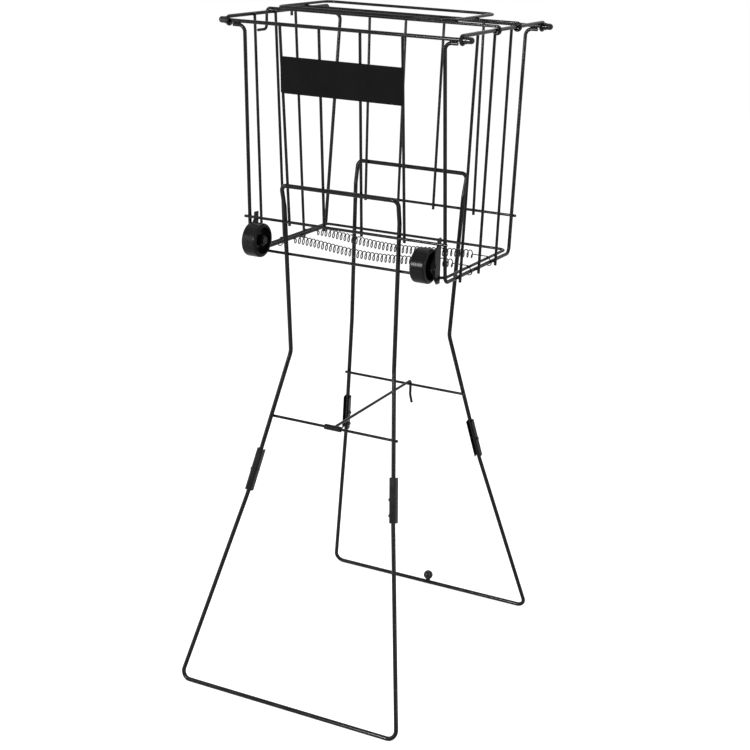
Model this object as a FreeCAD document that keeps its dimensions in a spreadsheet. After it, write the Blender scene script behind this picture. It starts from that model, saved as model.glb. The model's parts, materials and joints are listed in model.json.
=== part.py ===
import FreeCAD, Part
import Sketcher
import math
import os
from FreeCAD import Matrix, Placement, Rotation, Vector

# A wire ball hopper: a tapered wire basket with a sprung floor and a hinged wire lid,
# two wheels low on the front face, and two wire leg frames. Each leg frame has an upper
# half welded to the basket and a lower half that folds inwards on two rivets. A stay rod
# holds the two frames apart. Millimetres, +Z up, front face towards -Y, origin on the
# floor under the middle of the basket.

document = FreeCAD.newDocument("ball_hopper")
sheet = document.addObject("Spreadsheet::Sheet", "Sizes")

SIZES = [
    ("rail_wire", 5.0, "front and back top rails, side rims"),
    ("frame_wire", 5.0, "side frames with the corner posts"),
    ("cross_wire", 4.0, "upright wires, mid rails and floor ring"),
    ("leg_wire", 6.0, "leg frames"),
    ("brace_wire", 4.0, "leg braces and stay rod"),
    ("lid_wire", 4.0, "lid"),
    ("spring_wire", 1.5, "floor springs"),
    ("weld_gap", 0.1, "between two pieces that are welded together"),
    ("running_gap", 0.05, "radial, between a pin and its bore"),
    ("swing_gap", 0.3, "between pieces that move past or rest on each other"),
    ("rim_height", 927.0, "middle of the front and back top rails"),
    ("rim_half_width", 171.0, "middle plane to the side rims"),
    ("mouth_half_depth", 130.0, "middle plane to the front top rail"),
    ("frame_height", 608.0, "bottom run of the side frames"),
    ("frame_half_depth", 105.0, "middle plane to the foot of a corner post"),
    ("post_top_x", 147.0, "corner post at its shoulder"),
    ("post_foot_x", 150.0, "corner post at its foot"),
    ("frame_bend", 9.0, "bend radius of the side frames"),
    ("shoulder_reach", 17.5, "shoulder run outwards under the top rail"),
    ("cap_d", 10.0, "rail end cap"),
    ("cap_length", 13.0, "rail end cap"),
    ("cap_grip", 9.0, "rail end inside its cap"),
    ("cap_collar", 3.0, "thicker mouth of the cap"),
    ("cap_collar_rise", 0.6, "collar past the cap, radially"),
    ("eye_wrap_degrees", 255.0, "turn of a rim eye round the rail"),
    ("mid_rail_rise", 53.0, "mid rails above the bottom run of the side frames"),
    ("mid_rail_overhang", 2.0, "mid rail past the corner post"),
    ("wire_tip", 6.0, "upright wires below the mid rail"),
    ("wire_head", 1.5, "upright wires above the middle of the rail"),
    ("side_wire_tip", 6.0, "side wires below the side frame"),
    ("ring_clearance", 1.8, "floor ring to side frame"),
    ("ring_rise", 5.2, "floor ring above the side frame"),
    ("ring_bend", 8.0, "corner radius of the floor ring"),
    ("coil_d", 12.4, "outer diameter of a floor spring"),
    ("coil_count", 40, "curls of each floor spring"),
    ("coil_sag", 8.0, "middle of a floor spring below its ends"),
    ("spring_tail", 20.0, "straight tail between the floor ring and the coil"),
    ("spring_eye_slack", 0.8, "eye of a floor spring round the side frame, radially"),
    ("spring_eye_degrees", 230.0, "turn of that eye"),
    ("label_width", 182.0, "label plate"),
    ("label_depth", 49.02625, "height of the label plate"),
    ("label_thickness", 1.2, "label plate"),
    ("label_corner", 3.0, "corner radius of the label plate"),
    ("label_upper_share", 0.24887, "above the label, of the free room from the leg loop to the rail"),
    ("label_shift", -3.0, "middle of the label plate to the side"),
    ("wheel_d", 47.0, "wheel"),
    ("wheel_width", 22.0, "wheel"),
    ("wheel_x", 128.0, "middle plane to the middle of a wheel"),
    ("wheel_rise", 25.0, "wheel axle above the bottom run of the side frames"),
    ("wheel_y", 125.0, "wheel axle in front of the middle plane"),
    ("wheel_hub_d", 15.0, "wheel hub"),
    ("wheel_web", 7.0, "wheel disc between the recesses"),
    ("wheel_rim", 5.0, "thickness of the wheel rim"),
    ("wheel_edge", 3.0, "rounding of the tread"),
    ("axle_d", 5.0, "wheel bolt"),
    ("axle_head_d", 10.0, "head of the wheel bolt"),
    ("axle_head", 3.2, "head of the wheel bolt"),
    ("axle_nut", 4.0, "thickness of the wheel nut"),
    ("axle_nut_flats", 8.0, "wheel nut across its flats"),
    ("axle_end", 1.0, "bolt past its nut"),
    ("bracket_thickness", 2.0, "wheel bracket"),
    ("bracket_nose", 8.0, "radius of the wheel bracket round the bolt"),
    ("bracket_foot", 7.0, "wheel bracket past the rails"),
    ("front_leg_shift", -5.5, "front leg frame to the side of the middle plane"),
    ("rear_leg_shift", -15.0, "rear leg frame to the side of the middle plane"),
    ("leg_top_x", 89.0, "half width of a leg loop"),
    ("leg_bend_x", 81.5, "half width of a leg frame at its bend"),
    ("foot_x", 174.0, "half width of a leg frame at the floor"),
    ("foot_y", 235.5, "middle plane to a foot bar"),
    ("elbow_x", 116.2, "half width of a lower leg at its elbow"),
    ("elbow_y", 152.4, "middle plane to the elbow of a lower leg"),
    ("elbow_gap", 3.0, "elbow of a lower leg below its channel"),
    ("elbow_bend", 25.0, "radius of the elbow"),
    ("loop_height_share", 0.18985, "top bar of a leg loop, on the way from mid rail to top rail"),
    ("loop_kink_share", 0.63366, "of that rise, where the loop leans forward past the wires"),
    ("loop_bend", 8.0, "corner radius of a leg loop"),
    ("knee_height", 473.0, "bend of a leg frame below the basket"),
    ("knee_bend", 25.0, "radius of that bend"),
    ("foot_bend", 12.0, "radius of a foot corner"),
    ("brace_height", 381.5, "leg brace"),
    ("brace_overhang", 3.5, "leg brace past the legs"),
    ("pivot_height", 305.0, "rivet of a leg joint"),
    ("channel_length", 62.0, "folded channel of a leg joint"),
    ("channel_wall", 1.2, "sheet of the channel"),
    ("channel_side_gap", 0.8, "channel wall to leg rod"),
    ("channel_lip", 1.6, "channel wall past the leg rod"),
    ("rivet_d", 3.0, "pivot rivet"),
    ("rivet_head_d", 6.4, "domed head of the rivet"),
    ("rivet_head", 2.3, "domed head of the rivet"),
    ("rivet_tail_d", 5.2, "flat head of the rivet"),
    ("rivet_tail", 1.0, "flat head of the rivet"),
    ("stud_drop", 21.0, "lock stud below the rivet"),
    ("sleeve_d", 8.0, "hinge sleeve of the stay"),
    ("sleeve_length", 25.0, "hinge sleeve of the stay"),
    ("stay_tail", 22.0, "straight tail of the stay below the rear brace"),
    ("stay_kick", 14.0, "last run of the stay tail"),
    ("stay_kick_out", 6.0, "last run of the stay tail, outwards"),
    ("knob_d", 15.0, "ball knob on the rear foot bar"),
    ("knob_stem_d", 7.0, "stem of the knob"),
    ("knob_stem", 1.8, "stem of the knob that shows"),
    ("lid_front_y", -25.5, "front lid wire"),
    ("lid_back_y", 42.0, "back lid wire"),
    ("lid_hook_x", 177.5, "middle plane to the hooks of the lid"),
    ("lid_hook_drop", 29.0, "lid wires down their hooks"),
    ("lid_hook_bend", 6.0, "bend radius of the lid hooks"),
    ("lid_tail", 22.0, "tail of the front hook, along the rim"),
    ("lid_loop_left", -152.0, "left side of the lid loop"),
    ("lid_loop_right", 113.0, "right side of the lid loop"),
    ("lid_loop_front", -40.0, "front side of the lid loop"),
    ("lid_loop_back", 100.0, "back side of the lid loop"),
    ("lid_loop_bend", 12.0, "corner radius of the lid loop"),
]
for row, (alias, value, note) in enumerate(SIZES, 1):
    sheet.set("A%d" % row, note)
    sheet.set("B%d" % row, str(value))
    sheet.setAlias("B%d" % row, alias)
document.recompute()


def size(alias):
    return float(sheet.get(alias))


ALIKE = 1e-6    # two lengths, or two angles, this close count as one
nodes = []


def keep(feature, label):
    """List a finished sub-part under the name of its file."""
    feature.Label = label
    nodes.append(feature)
    return feature


# Bent wires

def corner_arc(before, corner, after, radius):
    """Start, middle and end of the arc that rounds a corner of a wire."""
    towards = (before - corner).normalize()
    away = (after - corner).normalize()
    half_turn = (math.pi - towards.getAngle(away)) / 2
    run = radius * math.tan(half_turn)
    start = corner + towards * run
    end = corner + away * run
    bisector = (towards + away).normalize()
    centre = corner + bisector * (radius / math.cos(half_turn))
    middle = centre - bisector * radius
    return start, middle, end


def bent_edges(points, bends):
    """Straight runs joined by tangent arcs, one bend radius for each inner point."""
    edges = []
    at = points[0]
    for index, bend in enumerate(bends, 1):
        start, middle, end = corner_arc(points[index - 1], points[index], points[index + 1], bend)
        edges.append(Part.LineSegment(at, start).toShape())
        edges.append(Part.Arc(start, middle, end).toShape())
        at = end
    edges.append(Part.LineSegment(at, points[-1]).toShape())
    return edges


def loop_edges(points, bend):
    """A closed loop of straight runs and rounded corners."""
    arcs = []
    count = len(points)
    for index, corner in enumerate(points):
        arcs.append(corner_arc(points[index - 1], corner, points[(index + 1) % count], bend))
    edges = []
    for index, (start, middle, end) in enumerate(arcs):
        following = arcs[(index + 1) % count][0]
        edges.append(Part.Arc(start, middle, end).toShape())
        edges.append(Part.LineSegment(end, following).toShape())
    return edges


WIDEST_ARC_DEGREES = 120


def ring_edges(centre, radius, across, up, first, last):
    """Arcs of a ring about centre, from one angle in degrees to the other."""
    parts = 1 + int(abs(last - first) // WIDEST_ARC_DEGREES)
    step = math.radians(last - first) / parts

    def place(angle):
        return centre + across * (radius * math.cos(angle)) + up * (radius * math.sin(angle))

    edges = []
    for index in range(parts):
        start = math.radians(first) + index * step
        edges.append(Part.Arc(place(start), place(start + step / 2), place(start + step)).toShape())
    return edges


def swept_wire(name, wire_alias, edges):
    """A round wire along joined edges, its diameter bound to the sheet."""
    path = document.addObject("Part::Feature", name + "_path")
    path.Shape = Part.Wire(edges)
    section = document.addObject("Part::Circle", name + "_section")
    section.setExpression("Radius", "Sizes.%s / 2" % wire_alias)
    first = edges[0]
    start = first.valueAt(first.FirstParameter)
    heading = first.tangentAt(first.FirstParameter)
    if first.Orientation == "Reversed":
        start = first.valueAt(first.LastParameter)
        heading = first.tangentAt(first.LastParameter) * -1
    section.Placement = Placement(start, Rotation(Vector(0, 0, 1), heading))
    sweep = document.addObject("Part::Sweep", name)
    sweep.Sections = [section]
    sweep.Spine = (path, ["Edge%d" % (index + 1) for index in range(len(edges))])
    sweep.Solid = True
    return sweep


def straight_wire(name, wire_alias, start, end):
    """A straight round wire as a cylinder, its diameter bound to the sheet."""
    rod = document.addObject("Part::Cylinder", name)
    rod.setExpression("Radius", "Sizes.%s / 2" % wire_alias)
    rod.Height = (end - start).Length
    rod.Placement = Placement(start, Rotation(Vector(0, 0, 1), end - start))
    return rod


# Sketched pieces

def origin_plane(body, role):
    return [feature for feature in body.Origin.OriginFeatures if feature.Role == role][0]


def bound(text):
    """An expression in which each word is a size of the sheet."""
    words = []
    for word in text.split(" "):
        words.append("Sizes." + word if word[0].isalpha() else word)
    return " ".join(words)


def outline(body, name, role, corners):
    """A closed sketch of straight sides; both places of each corner are bound."""
    sketch = body.newObject("Sketcher::SketchObject", name)
    sketch.AttachmentSupport = (origin_plane(body, role), [""])
    sketch.MapMode = "FlatFace"
    count = len(corners)
    for index in range(count):
        turn = 2 * math.pi / count
        start = Vector(math.cos(index * turn), math.sin(index * turn), 0)
        end = Vector(math.cos((index + 1) * turn), math.sin((index + 1) * turn), 0)
        sketch.addGeometry(Part.LineSegment(start, end), False)
    constraints = Sketcher.Constraint
    for index in range(count):
        sketch.addConstraint(constraints("Coincident", index, 2, (index + 1) % count, 1))
    for index, (across, up) in enumerate(corners):
        for kind, text in (("DistanceX", across), ("DistanceY", up)):
            number = sketch.addConstraint(constraints(kind, -1, 1, index, 1, 1.0))
            sketch.setExpression("Constraints[%d]" % number, bound(text))
    return sketch


def circle(body, name, role, diameter, centre=("0", "0")):
    """A sketched circle with its diameter and centre bound."""
    sketch = body.newObject("Sketcher::SketchObject", name)
    sketch.AttachmentSupport = (origin_plane(body, role), [""])
    sketch.MapMode = "FlatFace"
    sketch.addGeometry(Part.Circle(Vector(0, 0, 0), Vector(0, 0, 1), 1), False)
    number = sketch.addConstraint(Sketcher.Constraint("Diameter", 0, 1.0))
    sketch.setExpression("Constraints[%d]" % number, bound(diameter))
    for kind, text in (("DistanceX", centre[0]), ("DistanceY", centre[1])):
        number = sketch.addConstraint(Sketcher.Constraint(kind, -1, 1, 0, 3, 1.0))
        sketch.setExpression("Constraints[%d]" % number, bound(text))
    return sketch


def pad(body, name, sketch, length, midplane=False):
    feature = body.newObject("PartDesign::Pad", name)
    feature.Profile = sketch
    feature.setExpression("Length", bound(length))
    feature.Midplane = midplane
    return feature


def through_hole(body, name, sketch):
    feature = body.newObject("PartDesign::Pocket", name)
    feature.Profile = sketch
    feature.Type = "ThroughAll"
    feature.Midplane = True
    return feature


def revolved(body, name, sketch):
    """Turn a sketch in the XZ plane about the body's Z axis."""
    feature = body.newObject("PartDesign::Revolution", name)
    feature.Profile = sketch
    feature.ReferenceAxis = (origin_plane(body, "Z_Axis"), [""])
    feature.Angle = 360.0
    return feature


def round_edges(body, name, radius, chosen):
    """A fillet on the edges of the tip for which chosen is true."""
    document.recompute()
    base = body.Tip
    names = []
    for index, edge in enumerate(base.Shape.Edges, 1):
        if chosen(edge):
            names.append("Edge%d" % index)
    feature = body.newObject("PartDesign::Fillet", name)
    feature.Base = (base, names)
    feature.setExpression("Radius", bound(radius))
    return feature


# Basket rails, rims and side frames

rim_height = size("rim_height")
rim_half_width = size("rim_half_width")
rail_r = size("rail_wire") / 2
frame_r = size("frame_wire") / 2
cross_r = size("cross_wire") / 2
leg_r = size("leg_wire") / 2
brace_r = size("brace_wire") / 2
lid_r = size("lid_wire") / 2
weld_gap = size("weld_gap")
swing_gap = size("swing_gap")
running_gap = size("running_gap")
x_axis = Vector(1, 0, 0)
y_axis = Vector(0, 1, 0)
z_axis = Vector(0, 0, 1)
FACES = (("front", -1), ("back", 1))
SIDES = (("left", -1), ("right", 1))

cap_inner = rim_half_width + rail_r + swing_gap
rail_end = cap_inner + size("cap_grip")
mouth_y = size("mouth_half_depth")
shoulder_z = rim_height - rail_r - frame_r - weld_gap
frame_z = size("frame_height")
frame_y = size("frame_half_depth")


def post_y(height):
    """Middle plane to the middle of a corner post at a height."""
    share = (height - frame_z) / (shoulder_z - frame_z)
    return frame_y + (mouth_y - frame_y) * share


for face, sy in FACES:
    keep(straight_wire(face + "_rail_rod", "rail_wire",
                       Vector(-rail_end, sy * mouth_y, rim_height),
                       Vector(rail_end, sy * mouth_y, rim_height)), face + "_top_rail")

eye_r = rail_r + rail_r + weld_gap
eye_wrap = size("eye_wrap_degrees")
for side, sx in SIDES:
    x = sx * rim_half_width
    front_centre = Vector(x, -mouth_y, rim_height)
    back_centre = Vector(x, mouth_y, rim_height)
    edges = ring_edges(front_centre, eye_r, y_axis, z_axis, 90 + eye_wrap, 90)
    edges.append(Part.LineSegment(front_centre + z_axis * eye_r, back_centre + z_axis * eye_r).toShape())
    edges += ring_edges(back_centre, eye_r, y_axis, z_axis, 90, 90 - eye_wrap)
    keep(swept_wire(side + "_rim_rod", "rail_wire", edges), side + "_side_rim")
rim_z = rim_height + eye_r

for side, sx in SIDES:
    shoulder_x = size("post_top_x")
    outer_x = shoulder_x + size("shoulder_reach")
    points = [Vector(sx * outer_x, -mouth_y, shoulder_z),
              Vector(sx * shoulder_x, -mouth_y, shoulder_z),
              Vector(sx * size("post_foot_x"), -frame_y, frame_z),
              Vector(sx * size("post_foot_x"), frame_y, frame_z),
              Vector(sx * shoulder_x, mouth_y, shoulder_z),
              Vector(sx * outer_x, mouth_y, shoulder_z)]
    bend = size("frame_bend")
    keep(swept_wire(side + "_frame_rod", "frame_wire", bent_edges(points, [bend] * 4)),
         side + "_side_frame")


def end_cap(name, sx, sy):
    """A domed plastic cap with a collar and a blind bore, pushed over the end of a top rail."""
    body = document.addObject("PartDesign::Body", name)
    profile = outline(body, name + "_profile", "XZ_Plane", [
        ("0", "cap_grip + swing_gap"),
        ("rail_wire / 2 + running_gap", "cap_grip + swing_gap"),
        ("rail_wire / 2 + running_gap", "0"),
        ("cap_d / 2", "0"),
        ("cap_d / 2", "cap_collar"),
        ("cap_d / 2 - cap_collar_rise", "cap_collar"),
        ("cap_d / 2 - cap_collar_rise", "cap_length"),
        ("0", "cap_length")])
    revolved(body, name + "_turned", profile)
    dome = size("cap_length")
    round_edges(body, name + "_dome", "cap_d / 2 - cap_collar_rise - running_gap",
                lambda edge: edge.BoundBox.ZMin > dome - weld_gap and edge.BoundBox.XLength > 0)
    base = Vector(sx * cap_inner, sy * mouth_y, rim_height)
    body.Placement = Placement(base, Rotation(z_axis, x_axis * sx))
    return body


for face, sy in FACES:
    for side, sx in SIDES:
        name = "%s_%s_cap" % (face, side)
        keep(end_cap(name + "_body", sx, sy), name)

# Upright wires, mid rails and floor ring

mid_z = frame_z + size("mid_rail_rise")
mid_y = post_y(mid_z) + frame_r + cross_r + weld_gap
loop_z = mid_z + size("loop_height_share") * (rim_height - mid_z)
wire_top_y = mouth_y - rail_r - cross_r - weld_gap
wire_mid_y = mid_y - cross_r - cross_r - weld_gap
WIRE_TOP_SHARES = (-0.561, -0.216, 0.139, 0.497)
WIRE_FOOT_SHARES = (-0.501, -0.183, 0.152, 0.528)
SIDE_WIRE_TOP_SHARES = (-0.573, -0.157, 0.258)
SIDE_WIRE_FOOT_SHARES = (-0.645, -0.076, 0.462)


def wire_y(height):
    """Middle plane to the middle of a front or back wire at a height."""
    share = (height - mid_z) / (rim_height - mid_z)
    return wire_mid_y + (wire_top_y - wire_mid_y) * share


def wire_x(number, height):
    """Middle plane to the middle of a front or back wire, sideways, at a height."""
    share = (height - mid_z) / (rim_height - mid_z)
    foot_share = WIRE_FOOT_SHARES[number]
    return rim_half_width * (foot_share + (WIRE_TOP_SHARES[number] - foot_share) * share)


for face, sy in FACES:
    reach = size("post_foot_x") + frame_r + size("mid_rail_overhang")
    keep(straight_wire(face + "_mid_rod", "cross_wire", Vector(-reach, sy * mid_y, mid_z),
                       Vector(reach, sy * mid_y, mid_z)), face + "_mid_rail")
    head = rim_height + size("wire_head")
    tip = mid_z - size("wire_tip")
    for number in range(len(WIRE_TOP_SHARES)):
        low_end = Vector(wire_x(number, tip), sy * wire_y(tip), tip)
        high_end = Vector(wire_x(number, head), sy * wire_y(head), head)
        name = "%s_wire_%d" % (face, number + 1)
        keep(straight_wire(name + "_rod", "cross_wire", low_end, high_end), name)

side_foot_x = size("post_foot_x") + frame_r + cross_r + weld_gap
side_top_x = rim_half_width - rail_r - cross_r - weld_gap
for side, sx in SIDES:
    for number in range(len(SIDE_WIRE_TOP_SHARES)):
        foot = Vector(sx * side_foot_x, SIDE_WIRE_FOOT_SHARES[number] * frame_y, frame_z)
        top = Vector(sx * side_top_x, SIDE_WIRE_TOP_SHARES[number] * mouth_y, rim_z)
        along = (top - foot).normalize()
        name = "%s_wire_%d" % (side, number + 1)
        keep(straight_wire(name + "_rod", "cross_wire", foot - along * size("side_wire_tip"),
                           top + along * size("wire_head")), name)

ring_z = frame_z + size("ring_rise")
ring_apart = frame_r + cross_r + size("ring_clearance")
ring_x = size("post_foot_x") - math.sqrt(ring_apart ** 2 - size("ring_rise") ** 2)
ring_y = post_y(ring_z) - frame_r - cross_r - weld_gap
corners = [Vector(ring_x, -ring_y, ring_z), Vector(ring_x, ring_y, ring_z),
           Vector(-ring_x, ring_y, ring_z), Vector(-ring_x, -ring_y, ring_z)]
keep(swept_wire("floor_ring_rod", "cross_wire", loop_edges(corners, size("ring_bend"))), "floor_ring")

# Floor springs

SPRING_Y_SHARES = (-0.27, 0.35)
SPRING_NAMES = ("front_floor_spring", "back_floor_spring")
spring_r = size("spring_wire") / 2
coil_r = size("coil_d") / 2 - spring_r
over_ring_r = cross_r + spring_r + weld_gap
coil_half = ring_x - size("spring_tail")
coil_z = ring_z + over_ring_r
coil_count = int(size("coil_count"))
coil_turn = 2 * math.pi * coil_count


def coil_point(y, angle):
    """A place on the middle line of a spring; the curls open up and close in at its ends."""
    travel = angle / coil_turn
    x = coil_half * (2 * travel - 1)
    drop = size("coil_sag") * (1 - (2 * travel - 1) ** 2) ** 2
    opening = min(1.0, angle / math.pi, (coil_turn - angle) / math.pi)
    radius = coil_r * (3 * opening ** 2 - 2 * opening ** 3)
    return Vector(x, y + radius * math.sin(angle), coil_z - drop + radius * math.cos(angle))


HEADING_STEP = 1e-4    # an angle, short enough to read the heading of a curl from


def coil_heading(y, angle):
    low = max(0.0, angle - HEADING_STEP)
    high = min(coil_turn, angle + HEADING_STEP)
    return (coil_point(y, high) - coil_point(y, low)).normalize()


def arc_from(start, heading, end):
    """The arc that leaves start along heading and reaches end."""
    chord = end - start
    normal = heading.cross(chord).cross(heading)
    if normal.Length < ALIKE:
        return Part.LineSegment(start, end).toShape()
    normal.normalize()
    radius = chord.Length ** 2 / (2 * chord.dot(normal))
    centre = start + normal * radius
    towards_chord = ((start + end) * 0.5 - centre).normalize() * abs(radius)
    middle = centre + towards_chord
    if heading.dot(chord) < 0:
        middle = centre - towards_chord
    return Part.Arc(start, middle, end).toShape()


def two_arcs(start, heading_in, end, heading_out):
    """Two tangent arcs between two places with given headings."""
    chord = end - start
    both = heading_in + heading_out
    square = 2 * (1 - heading_in.dot(heading_out))
    linear = 2 * chord.dot(both)
    constant = -chord.dot(chord)
    if square < ALIKE:
        reach = -constant / linear
    else:
        reach = (-linear + math.sqrt(linear ** 2 - 4 * square * constant)) / (2 * square)
    joint = (start + heading_in * reach + end - heading_out * reach) * 0.5
    first = arc_from(start, heading_in, joint)
    second = arc_from(end, heading_out * -1, joint)
    middle = second.valueAt((second.FirstParameter + second.LastParameter) / 2)
    return [first, Part.Arc(joint, middle, end).toShape()]


def spring_hook(y, sx):
    """From the tail over the floor ring to the end of the eye round the side frame."""
    across = x_axis * sx
    over = Vector(sx * ring_x, y, ring_z)
    eye_r = frame_r + spring_r + weld_gap + size("spring_eye_slack")
    pulled = (-across - z_axis).normalize() * size("spring_eye_slack")
    eye = Vector(sx * size("post_foot_x"), y, frame_z) + pulled
    apart = eye - over
    line = math.atan2(apart.z, apart.dot(across))
    turn = math.degrees(line + math.acos((over_ring_r - eye_r) / apart.Length))
    edges = ring_edges(over, over_ring_r, across, z_axis, 90, turn)
    leave = edges[-1].valueAt(edges[-1].LastParameter)
    eye_edges = ring_edges(eye, eye_r, across, z_axis, turn, turn - size("spring_eye_degrees"))
    arrive = eye_edges[0].valueAt(eye_edges[0].FirstParameter)
    edges.append(Part.LineSegment(leave, arrive).toShape())
    return edges + eye_edges


def turned_round(edges):
    """The same run of edges from its far end."""
    run = []
    for edge in reversed(edges):
        first, last = edge.FirstParameter, edge.LastParameter
        if isinstance(edge.Curve, Part.Line):
            run.append(Part.LineSegment(edge.valueAt(last), edge.valueAt(first)).toShape())
        else:
            middle = edge.valueAt((first + last) / 2)
            run.append(Part.Arc(edge.valueAt(last), middle, edge.valueAt(first)).toShape())
    return run


def spring_edges(y):
    """Eye, tail, curls, tail and eye of one spring, as arcs and straight runs."""
    edges = turned_round(spring_hook(y, -1))
    edges.append(Part.LineSegment(Vector(-ring_x, y, coil_z), coil_point(y, 0)).toShape())
    angles = [0.0, math.pi / 2]
    angles += [math.pi * half_turn for half_turn in range(1, 2 * coil_count)]
    angles += [coil_turn - math.pi / 2, coil_turn]
    for first, last in zip(angles, angles[1:]):
        edges += two_arcs(coil_point(y, first), coil_heading(y, first),
                          coil_point(y, last), coil_heading(y, last))
    edges.append(Part.LineSegment(coil_point(y, coil_turn), Vector(ring_x, y, coil_z)).toShape())
    return edges + spring_hook(y, 1)


SAMPLE_SHARES = (0.0, 0.25, 0.5, 0.75)


def least_self_gap(edges, wire_r, apart):
    """Least clear space between two places of a wire that lie further apart along it."""
    places = []
    travelled = 0.0
    for edge in edges:
        for share in SAMPLE_SHARES:
            at = edge.FirstParameter + (edge.LastParameter - edge.FirstParameter) * share
            places.append((travelled + edge.Length * share, edge.valueAt(at)))
        travelled += edge.Length
    gaps = []
    for index, (run, place) in enumerate(places):
        gaps += [place.distanceToPoint(other) for other_run, other in places[index + 1:]
                 if other_run - run > apart]
    return min(gaps) - 2 * wire_r


for name, share in zip(SPRING_NAMES, SPRING_Y_SHARES):
    spring = document.addObject("Part::Feature", name + "_coil")
    edges = spring_edges(share * frame_y)
    print(name, "least gap to itself", round(least_self_gap(edges, spring_r, math.pi * coil_r), 2))
    start = edges[0].valueAt(edges[0].FirstParameter)
    heading = edges[0].tangentAt(edges[0].FirstParameter)
    section = Part.Wire(Part.Circle(start, heading, spring_r).toShape())
    spring.Shape = Part.Wire(edges).makePipeShell([section], True, False)
    keep(spring, name)

# Label plate

lean = math.degrees(math.atan2(wire_top_y - wire_mid_y, rim_height - mid_z))
body = document.addObject("PartDesign::Body", "label_plate_body")
half = ("label_width / 2", "label_depth / 2")
profile = outline(body, "label_profile", "XZ_Plane", [
    ("-1 * " + half[0], "-1 * " + half[1]), (half[0], "-1 * " + half[1]),
    (half[0], half[1]), ("-1 * " + half[0], half[1])])
pad(body, "label_sheet", profile, "label_thickness", True)
thickness = size("label_thickness")
round_edges(body, "label_corners", "label_corner",
            lambda edge: abs(edge.Length - thickness) < ALIKE)
free_room = rim_height - loop_z - size("label_depth")
label_z = rim_height - size("label_upper_share") * free_room - size("label_depth") / 2
label_y = wire_y(label_z) + (cross_r + weld_gap + thickness / 2) / math.cos(math.radians(lean))
body.Placement = Placement(Vector(size("label_shift"), -label_y, label_z), Rotation(x_axis, lean))
keep(body, "label_plate")

# Wheels, their bolts, nuts and brackets

wheel_x = size("wheel_x")
wheel_y = size("wheel_y")
wheel_z = frame_z + size("wheel_rise")
wheel_half = size("wheel_width") / 2


def wheel(name, sx):
    """A moulded wheel with a recess round the hub in each face and a rounded tread."""
    body = document.addObject("PartDesign::Body", name)
    bore = "axle_d / 2 + running_gap"
    hub = "wheel_hub_d / 2"
    web = "wheel_web / 2"
    edge = "wheel_width / 2"
    rim = "wheel_d / 2 - wheel_rim"
    profile = outline(body, name + "_profile", "XZ_Plane", [
        (bore, "-1 * " + edge), (hub, "-1 * " + edge), (hub, "-1 * " + web), (rim, "-1 * " + web),
        (rim, "-1 * " + edge), ("wheel_d / 2", "-1 * " + edge), ("wheel_d / 2", edge), (rim, edge),
        (rim, web), (hub, web), (hub, edge), (bore, edge)])
    revolved(body, name + "_turned", profile)
    outer = size("wheel_d") - weld_gap
    round_edges(body, name + "_tread", "wheel_edge",
                lambda edge: edge.BoundBox.XLength > outer and edge.BoundBox.ZLength < weld_gap)
    body.Placement = Placement(Vector(sx * wheel_x, -wheel_y, wheel_z), Rotation(z_axis, x_axis * sx))
    return body


bracket_inner = wheel_half + swing_gap
bracket_outer = bracket_inner + size("bracket_thickness")


def axle(name, sx):
    """The bolt that a wheel turns on, its low round head on the inboard face of the wheel."""
    body = document.addObject("PartDesign::Body", name)
    face = "wheel_width / 2 + swing_gap"
    end = face + " + bracket_thickness + weld_gap + axle_nut + axle_end"
    profile = outline(body, name + "_profile", "XZ_Plane", [
        ("0", "-1 * wheel_width / 2 - swing_gap - axle_head"),
        ("axle_head_d / 2", "-1 * wheel_width / 2 - swing_gap - axle_head"),
        ("axle_head_d / 2", "-1 * wheel_width / 2 - swing_gap"),
        ("axle_d / 2", "-1 * wheel_width / 2 - swing_gap"),
        ("axle_d / 2", end), ("0", end)])
    revolved(body, name + "_turned", profile)
    head_face = -wheel_half - swing_gap - size("axle_head")
    round_edges(body, name + "_head", "axle_head / 2",
                lambda edge: abs(edge.BoundBox.ZMax - head_face) < ALIKE and edge.BoundBox.XLength > 0)
    body.Placement = Placement(Vector(sx * wheel_x, -wheel_y, wheel_z), Rotation(z_axis, x_axis * sx))
    return body


def nut(name, sx):
    """A hexagon nut on the outboard side of the bracket."""
    flats = size("axle_nut_flats")
    body = document.addObject("PartDesign::Body", name)
    corners = []
    for index in range(6):
        turn = math.radians(60 * index)
        corners.append(("axle_nut_flats * %.6f" % (math.cos(turn) / math.sqrt(3)),
                        "axle_nut_flats * %.6f" % (math.sin(turn) / math.sqrt(3))))
    pad(body, name + "_hexagon", outline(body, name + "_profile", "XY_Plane", corners), "axle_nut")
    through_hole(body, name + "_bore", circle(body, name + "_hole", "XY_Plane",
                                              "axle_d + 2 * running_gap"))
    seat = bracket_outer + weld_gap
    body.Placement = Placement(Vector(sx * (wheel_x + seat), -wheel_y, wheel_z),
                               Rotation(z_axis, x_axis * sx))
    return body


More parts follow.
